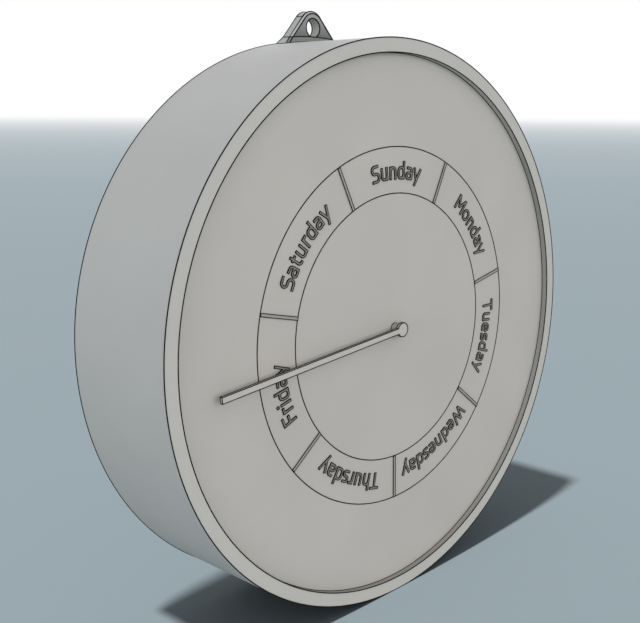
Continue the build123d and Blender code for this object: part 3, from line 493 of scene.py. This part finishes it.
def as_object(name, shape, finishes):
    """Puts a finished bmesh into the scene with its finishes, in the order of their numbers."""
    mesh = bpy.data.meshes.new(name)
    shape.to_mesh(mesh)
    shape.free()
    for finish in finishes:
        mesh.materials.append(finish)
    piece = bpy.data.objects.new(name, mesh)
    bpy.context.scene.collection.objects.link(piece)
    return piece


print("edges are sharp from", round(math.degrees(sharp_angle)), "degrees")

# %% [markdown]
# Every edge of this clock is picked out by a fine dark line, as on a technical drawing. A painted band
# would look thin from one side and wide from another, so the lines are round: a thin dark tube lies along
# each sharp edge. Edges become tubes in three steps: keep only the sharp edges of a copy, turn them into a
# curve, and give the curve a round bevel.

# %% Dark lines along sharp edges
line_width = 0.5


def round_tubes(wire, width):
    """Turns the edges of a wire bmesh into round tubes and gives their mesh."""
    guide = as_object("line_guide", wire, [])
    bpy.ops.object.select_all(action="DESELECT")
    guide.select_set(True)
    bpy.context.view_layer.objects.active = guide
    bpy.ops.object.convert(target="CURVE")
    guide.data.bevel_depth = width / 2 * MM
    guide.data.bevel_resolution = 1
    guide.data.use_fill_caps = True
    graph = bpy.context.evaluated_depsgraph_get()
    tubes = bpy.data.meshes.new_from_object(guide.evaluated_get(graph))
    bpy.data.objects.remove(guide)
    return tubes


def draw_lines(shape, finish_number, width=line_width, wanted=None, also=None):
    """Adds a dark tube along each sharp edge, or those that wanted() picks, and along each edge of also()."""
    shape.edges.index_update()
    chosen = {edge.index for edge in shape.edges if edge.calc_face_angle(0) > sharp_angle}
    if also:
        chosen |= {edge.index for edge in shape.edges if also(edge)}
    if wanted:
        chosen = {edge.index for edge in shape.edges if edge.index in chosen and wanted(edge)}
    wire = shape.copy()
    wire.edges.index_update()
    spare = [edge for edge in wire.edges if edge.index not in chosen]
    bmesh.ops.delete(wire, geom=list(wire.faces), context="FACES_ONLY")
    bmesh.ops.delete(wire, geom=spare, context="EDGES")
    bmesh.ops.delete(wire, geom=[point for point in wire.verts if not point.link_edges], context="VERTS")
    for face in shape.faces:
        face.tag = True
    tubes = round_tubes(wire, width)
    shape.from_mesh(tubes)
    for face in shape.faces:
        if not face.tag:
            face.material_index = finish_number
            face.smooth = True
    bpy.data.meshes.remove(tubes)
    return len(chosen)


print("lines are", line_width, "mm wide")

# %% [markdown]
# A line that runs round the hand's axis has no need of edges to follow. It is a small circle, spun once
# round the axis, which gives a smoother ring than a tube along a hundred short edges. The full turn merges
# its last step with its first, so that the ring has no seam.

# %% Dark lines round the axis
hand_axis_place = (0, 0, 0)
hand_axis = (0, 1, 0)
large_steps = 256
small_steps = 64
line_sides = 8


def spin_once(shape, geometry, centre, axis, steps):
    """Takes geometry once round an axis, in even steps, and closes the seam."""
    bmesh.ops.spin(
        shape,
        geom=geometry,
        cent=centre,
        axis=axis,
        dvec=(0, 0, 0),
        angle=math.tau,
        steps=steps,
        use_merge=True,
    )


def ring_line(shape, radius, depth, finish_number, width=line_width, steps=large_steps):
    """Adds a dark line that runs round the hand's axis, as a small circle spun about it."""
    for face in shape.faces:
        face.tag = True
    small = bmesh.ops.create_circle(
        shape,
        segments=line_sides,
        radius=width / 2 * MM,
        matrix=Matrix.Translation((radius * MM, depth * MM, 0)),
    )["verts"]
    section = list({edge for point in small for edge in point.link_edges})
    spin_once(shape, small + section, hand_axis_place, hand_axis, steps)
    added = [face for face in shape.faces if not face.tag]
    bmesh.ops.recalc_face_normals(shape, faces=added)
    for face in added:
        face.material_index = finish_number
        face.smooth = True


print("round lines have", large_steps, "steps, or", small_steps, "on small pieces")

# %% [markdown]
# Most of this clock is round about the hand's axis, so it is turned like a bowl on a lathe: a section is
# drawn once as a closed loop of corners, and Spin takes it round. Each corner says which finish follows it.
# After the spin a face gets the finish of the run whose middle is nearest to it.

# %% Lathe
seam_distance = 0.001


def nearest_tone(spot, middles, section):
    """Gives the finish number of that run of a section whose middle is nearest to a spot."""
    nearest = min(range(len(middles)), key=lambda number: (middles[number] - spot).length)
    return section[nearest][2]


def lathe(section, steps=large_steps):
    """Spins a closed section of (radius, depth, finish number) corners once round the hand's axis."""
    shape = bmesh.new()
    corners = [shape.verts.new((radius * MM, depth * MM, 0)) for radius, depth, _ in section]
    pairs = list(zip(corners, corners[1:] + corners[:1]))
    runs = [shape.edges.new(pair) for pair in pairs]
    middles = [(pair[0].co + pair[1].co) / 2 for pair in pairs]
    spin_once(shape, corners + runs, hand_axis_place, hand_axis, steps)
    bmesh.ops.remove_doubles(shape, verts=shape.verts, dist=seam_distance * MM)
    bmesh.ops.recalc_face_normals(shape, faces=shape.faces)
    for face in shape.faces:
        centre = face.calc_center_median()
        spot = Vector((math.hypot(centre.x, centre.z), centre.y, 0))
        face.material_index = nearest_tone(spot, middles, section)
    smooth_but_sharp(shape)
    return shape


print("lathe seams close within", seam_distance, "mm")

# %% [markdown]
# The drum is a deep round moulding, open at the rear, with a lip round its front that hides the edge of the
# dial. Its section has ten corners: the outside, the flat front of the lip, the wall round the sunk dial,
# the bore and the groove of the ring that holds the dial in.

# %% Drum
drum_radius = 125
bore_radius = 122
rim_radius = 119
front = -58
dial_front = -55
groove_radius = 123
groove_front = -52
groove_rear = -50.1
body_tone, rim_tone, shade_tone, line_tone = 0, 1, 2, 3

drum = lathe([
    (drum_radius, 0, body_tone),
    (drum_radius, front, rim_tone),
    (rim_radius, front, shade_tone),
    (rim_radius, dial_front, shade_tone),
    (bore_radius, dial_front, body_tone),
    (bore_radius, groove_front, body_tone),
    (groove_radius, groove_front, body_tone),
    (groove_radius, groove_rear, body_tone),
    (bore_radius, groove_rear, body_tone),
    (bore_radius, 0, body_tone),
])
for line_radius, line_depth in (
    (drum_radius, 0),
    (drum_radius, front),
    (rim_radius, front),
    (rim_radius, dial_front),
    (bore_radius, 0),
):
    ring_line(drum, line_radius, line_depth, line_tone)
print("drum faces:", len(drum.faces))
drum_piece = as_object("drum", drum, [drum_side_painted_light, rim_front_painted_light, shade_finish, line_finish])
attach(drum_piece, "case")
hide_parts("case_drum")

# %% [markdown]
# The ring of the days is let in flush with the dial, and only the two fine lines at its edges show it. It
# is turned in the same way, from a section of four corners.

# %% Ring of the days
ring_inner = 60
ring_outer = 80
ring_rear = -53.8
fit = 0.05

ring = lathe([
    (ring_inner + fit, dial_front, 0),
    (ring_outer - fit, dial_front, 0),
    (ring_outer - fit, ring_rear, 0),
    (ring_inner + fit, ring_rear, 0),
])
ring_line(ring, ring_inner, dial_front, 1)
ring_line(ring, ring_outer, dial_front, 1)
print("ring faces:", len(ring.faces))
ring_piece = as_object("ring_of_days", ring, [ring_finish, line_finish])
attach(ring_piece, "case")
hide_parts("day_ring")

# %% [markdown]
# Seven low ribs part the days. One rib is a cube scaled to a bar, and turned copies of it make the seven.

# %% Ribs between the days
rib_width = 1.35
rib_height = 0.35
rib_length = 19.8
rib_middle_radius = (ring_inner + ring_outer) / 2
rib_middle_depth = dial_front - rib_height / 2
first_rib_turn = 90
day_count = 7


def on_rib_top(edge):
    """Tells the edges that stand proud of the ring from those that lie on it."""
    return max(point.co.y for point in edge.verts) < rib_middle_depth * MM


ribs = bmesh.new()
for number in range(day_count):
    bar = bmesh.ops.create_cube(ribs, size=1)["verts"]
    bmesh.ops.scale(ribs, vec=(rib_length * MM, rib_height * MM, rib_width * MM), verts=bar)
    bmesh.ops.translate(ribs, vec=(rib_middle_radius * MM, rib_middle_depth * MM, 0), verts=bar)
    turned = Matrix.Rotation(math.radians(first_rib_turn + number * 360 / day_count), 3, "Y")
    bmesh.ops.rotate(ribs, cent=(0, 0, 0), matrix=turned, verts=bar)
drawn = draw_lines(ribs, 1, wanted=on_rib_top)
print("ribs:", day_count, "with", drawn, "lined edges")
rib_piece = as_object("ribs_between_days", ribs, [rib_finish, line_finish])
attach(rib_piece, "case")
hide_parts("day_separators")

# %% [markdown]
# The names of the days, the hanging lug, the hand and the rear parts have their right shape in the CAD
# model, but as loose triangles. A copy is welded, its flat faces are joined into one each, and its sharp
# edges get their dark lines. Two helpers do this for every such piece.

# %% Lined copies of CAD nodes
weld_distance = 0.002
flat_angle = math.radians(1)


def welded_copy(node):
    """Gives a CAD node's shape as a closed bmesh with whole flat faces."""
    shape = bmesh.new()
    shape.from_mesh(frame["nodes"][node].data)
    bmesh.ops.remove_doubles(shape, verts=shape.verts, dist=weld_distance * MM)
    bmesh.ops.recalc_face_normals(shape, faces=shape.faces)
    bmesh.ops.dissolve_limit(shape, angle_limit=flat_angle, verts=shape.verts, edges=shape.edges)
    for face in shape.faces:
        face.material_index = 0
    return shape


def lined_copy(node, name, body, finishes, width=line_width, also=None, tone=None):
    """Replaces a CAD node by a welded copy with dark lines; tone() may choose each face's finish."""
    shape = welded_copy(node)
    smooth_but_sharp(shape)
    if tone:
        for face in shape.faces:
            face.material_index = tone(face)
    lined = draw_lines(shape, len(finishes), width, also=also)
    print(name, "has", lined, "lined edges and", len(shape.faces), "faces")
    piece = as_object(name, shape, [*finishes, line_finish])
    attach(piece, body)
    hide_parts(node)


print("copies are welded within", weld_distance, "mm")

# %% [markdown]
# The names stand 0.35 mm proud of the ring, as plain strokes of even width, and curve round the hand's
# axis. Their tops are a darker grey than the ring, and a finer line than elsewhere leaves that grey in
# view.

# %% Names of the days
letter_line = 0.42
for day in ("sunday", "monday", "tuesday", "wednesday", "thursday", "friday", "saturday"):
    lined_copy(day + "_letters", "name_" + day, "case", [letter_finish], width=letter_line)

# %% [markdown]
# Behind the hand a short round post stands out of the dial. It is the end of the movement's bush, finished
# with a thin grey sleeve, and the hand's arbor turns in it. The sleeve's grey, darker than the dial, is
# painted shade where it stands close behind the hand. The sleeve is turned from a section of four corners.

# %% Sleeve on the post
sleeve_inner = 1.6
sleeve_outer = 2.45
sleeve_reach = 0.78
sleeve_line = 0.4
sleeve_line_lift = 0.1
sleeve_front = front - sleeve_reach

sleeve = lathe([
    (sleeve_inner, dial_front, 0),
    (sleeve_outer, dial_front, 0),
    (sleeve_outer, sleeve_front, 0),
    (sleeve_inner, sleeve_front, 0),
], steps=small_steps)
for line_depth in (dial_front - sleeve_line_lift, sleeve_front):
    ring_line(sleeve, sleeve_outer, line_depth, 1, width=sleeve_line, steps=small_steps)
print("sleeve is", round(dial_front - sleeve_front, 2), "mm long")
sleeve_piece = as_object("post_sleeve", sleeve, [sleeve_painted_shade, line_finish])
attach(sleeve_piece, "case")

# %% [markdown]
# The hand is one flat bar with a round hub, and turns on the post that stands out of the dial behind it.

# %% Hand
lined_copy("day_hand", "hand", "hand", [hand_finish])

# %% [markdown]
# The lug is a tab with a hole, on a foot that follows the round of the drum. Its one plastic comes in lit
# and shaded copies, which are painted light and shade. The drum keeps light off the low part of its front,
# so the front's painted shade runs from dark at the shoulder to light at the top, by height. Each face is
# given its painted tone by the way that it points.

# %% Lug
lug_shade_low = 126
lug_shade_high = 138
lug_front_painted_shade = plastic_with_painted_shade_by_height(
    "lug_plastic_front_painted_shade", paint(97, 99, 97), paint(150, 152, 149), lug_shade_low, lug_shade_high, 0.6
)
lug_side_painted_light = moulded("lug_plastic_side_painted_light", paint(160, 163, 162), 0.6)
lug_hole_painted_light = moulded("lug_plastic_hole_painted_light", paint(178, 178, 170), 0.6)
lug_foot_painted_shade = moulded("lug_plastic_foot_painted_shade", paint(116, 118, 117), 0.6)
lug_shoulder_height = 126.76
lug_bend_height = 136.16
lug_hole_height = 131.4
lug_hole_radius = 4.2
lug_hole_margin = 0.3
lug_foot_margin = 0.7
shaded_front_tone, lit_side_tone, lit_hole_tone, shaded_foot_tone = 0, 1, 2, 3
square_on = 0.9
slanted = 0.3
edge_on = 0.1


def lug_painted_light_and_shade(face):
    """Gives the front, the hole's wall, the low slanted faces and all others their own painted light or shade.
    """
    centre = face.calc_center_median()
    from_hole = math.hypot(centre.x, centre.z - lug_hole_height * MM)
    ahead = -face.normal.y
    if ahead > square_on:
        return shaded_front_tone
    if abs(ahead) < edge_on and from_hole < (lug_hole_radius + lug_hole_margin) * MM:
        return lit_hole_tone
    if ahead > slanted and centre.z < (lug_shoulder_height + lug_foot_margin) * MM:
        return shaded_foot_tone
    return lit_side_tone


lug_painted_tones = [lug_front_painted_shade, lug_side_painted_light, lug_hole_painted_light, lug_foot_painted_shade]
print("lug finishes:", [finish.name for finish in lug_painted_tones])

# %% [markdown]
# Some bends of the lug are too soft to count as sharp, and still show as lines: the level ones at its
# shoulder and where its slopes meet the round, and the corners of its foot. They are picked by where they
# lie.

# %% Soft bends of the lug
level_slack = 0.01
height_slack = 0.02
foot_corner_reach = 12
foot_corner_front = -3.9
soft_angle = math.radians(12)
lug_line = 0.6


def lug_bend(edge):
    """Tells the soft bends of the lug that show as lines."""
    heights = [point.co.z for point in edge.verts]
    level = max(heights) - min(heights) < level_slack * MM
    offsets = [abs(heights[0] - height * MM) for height in (lug_shoulder_height, lug_bend_height)]
    wide = min(abs(point.co.x) for point in edge.verts) > foot_corner_reach * MM
    at_front = max(point.co.y for point in edge.verts) < foot_corner_front * MM
    corner = wide and at_front and edge.calc_face_angle(0) > soft_angle
    return (level and min(offsets) < height_slack * MM) or corner


lined_copy(
    "hanging_lug", "lug", "case", lug_painted_tones, width=lug_line, also=lug_bend, tone=lug_painted_light_and_shade
)

# %% [markdown]
# Seen from behind, the clock has a flat cover held by six screws, and a door over the battery.

# %% Rear cover, its screws and the battery door
small_line = 0.2
cover_finish = moulded("cover_plastic", paint(168, 170, 169), 0.55)
door_finish = moulded("door_plastic", paint(165, 167, 166), 0.5)
screw_finish = brushed("zinc", (0.55, 0.56, 0.58), 0.35)
knob_finish = moulded("knob_plastic", (0.45, 0.04, 0.03), 0.4)
lined_copy("rear_cover", "rear_cover_lined", "case", [cover_finish])
lined_copy("battery_door", "battery_door_lined", "door", [door_finish])
lined_copy("rear_cover_screws", "cover_screws_lined", "case", [screw_finish], width=small_line)
lined_copy("set_knob", "set_knob_lined", "setter", [knob_finish], width=small_line)

# %% [markdown]
# The battery is an AA cell: a steel can in a plastic sleeve that is shrunk round it and laps a little over
# both ends, with a raised button at one end. Its outline is spun round its own length.

# %% Battery
cell_height = -37
cell_depth = -43.15
sleeve_tone, can_tone = 0, 1
cell_outline = (
    (-25.25, 0.0, can_tone),
    (-25.25, 4.2, can_tone),
    (-24.85, 5.0, can_tone),
    (-24.85, 6.0, sleeve_tone),
    (-25.1, 6.2, sleeve_tone),
    (-25.1, 6.75, sleeve_tone),
    (-24.6, 7.25, sleeve_tone),
    (23.75, 7.25, sleeve_tone),
    (24.25, 6.75, sleeve_tone),
    (24.25, 6.2, sleeve_tone),
    (24.0, 6.0, can_tone),
    (24.0, 3.1, can_tone),
    (24.25, 2.7, can_tone),
    (25.1, 2.7, can_tone),
    (25.25, 2.5, can_tone),
    (25.25, 0.0, can_tone),
)

cell = bmesh.new()
corners = [
    cell.verts.new((along * MM, cell_depth * MM, (cell_height + radius) * MM))
    for along, radius, _ in cell_outline
]
runs = [cell.edges.new(pair) for pair in zip(corners, corners[1:])]
middles = [(pair[0].co + pair[1].co) / 2 for pair in zip(corners, corners[1:])]
centre_line = (0, cell_depth * MM, cell_height * MM)
spin_once(cell, corners + runs, centre_line, (1, 0, 0), small_steps)
bmesh.ops.remove_doubles(cell, verts=cell.verts, dist=seam_distance * MM)
bmesh.ops.recalc_face_normals(cell, faces=cell.faces)
for face in cell.faces:
    centre = face.calc_center_median()
    radius = math.hypot(centre.y - centre_line[1], centre.z - centre_line[2])
    spot = Vector((centre.x, centre_line[1], centre_line[2] + radius))
    face.material_index = nearest_tone(spot, middles, cell_outline)
smooth_but_sharp(cell)
sleeve_finish = moulded("cell_sleeve", paint(38, 52, 66), 0.3, grain=0.1, drift=0.1, drift_size=12)
can_finish = brushed("cell_can", (0.72, 0.72, 0.74), 0.22)
print("battery faces:", len(cell.faces))
cell_piece = as_object("cell", cell, [sleeve_finish, can_finish])
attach(cell_piece, "cell")
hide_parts("battery")

# %% [markdown]
# Inside the clock the CAD shapes are right, and each gets the finish of its slot: black movement case,
# milky acetal wheels, copper winding, green board and bright contacts.

# %% Finishes for the CAD nodes that stay
finish_of_slot = {
    "dial_plastic": dial_finish,
    "spring_steel": brushed("spring_steel", (0.6, 0.6, 0.62), 0.3),
    "pillar_aluminium": brushed("turned_aluminium", (0.75, 0.75, 0.76), 0.35, stretch=(1, 80, 1)),
    "screw_steel": screw_finish,
    "movement_plastic": moulded("black_nylon", (0.03, 0.03, 0.033), 0.5),
    "wheel_plastic": moulded("acetal", (0.72, 0.70, 0.64), 0.4),
    "magnet": moulded("sintered_magnet", (0.05, 0.05, 0.055), 0.5),
    "core_steel": brushed("soft_iron", (0.42, 0.42, 0.44), 0.4, stretch=(1, 60, 60)),
    "copper": brushed("copper_wire", (0.72, 0.30, 0.14), 0.3, stretch=(120, 1, 1)),
    "board": moulded("green_board", (0.02, 0.16, 0.06), 0.35, drift=0.12, drift_size=4),
    "chip": moulded("black_epoxy", (0.02, 0.02, 0.02), 0.6),
    "crystal_can": brushed("plated_can", (0.7, 0.7, 0.72), 0.25, stretch=(1, 60, 60)),
    "contact_metal": brushed("nickel_strip", (0.66, 0.65, 0.62), 0.28, stretch=(60, 60, 1)),
}
for part in frame["record"]["subparts"]:
    finish = finish_of_slot.get(part["material_slot"])
    node = frame["nodes"][part["node"]]
    if finish and not node.hide_render:
        node.data.materials.clear()
        node.data.materials.append(finish)
print("finishes given by slot:", len(finish_of_slot))
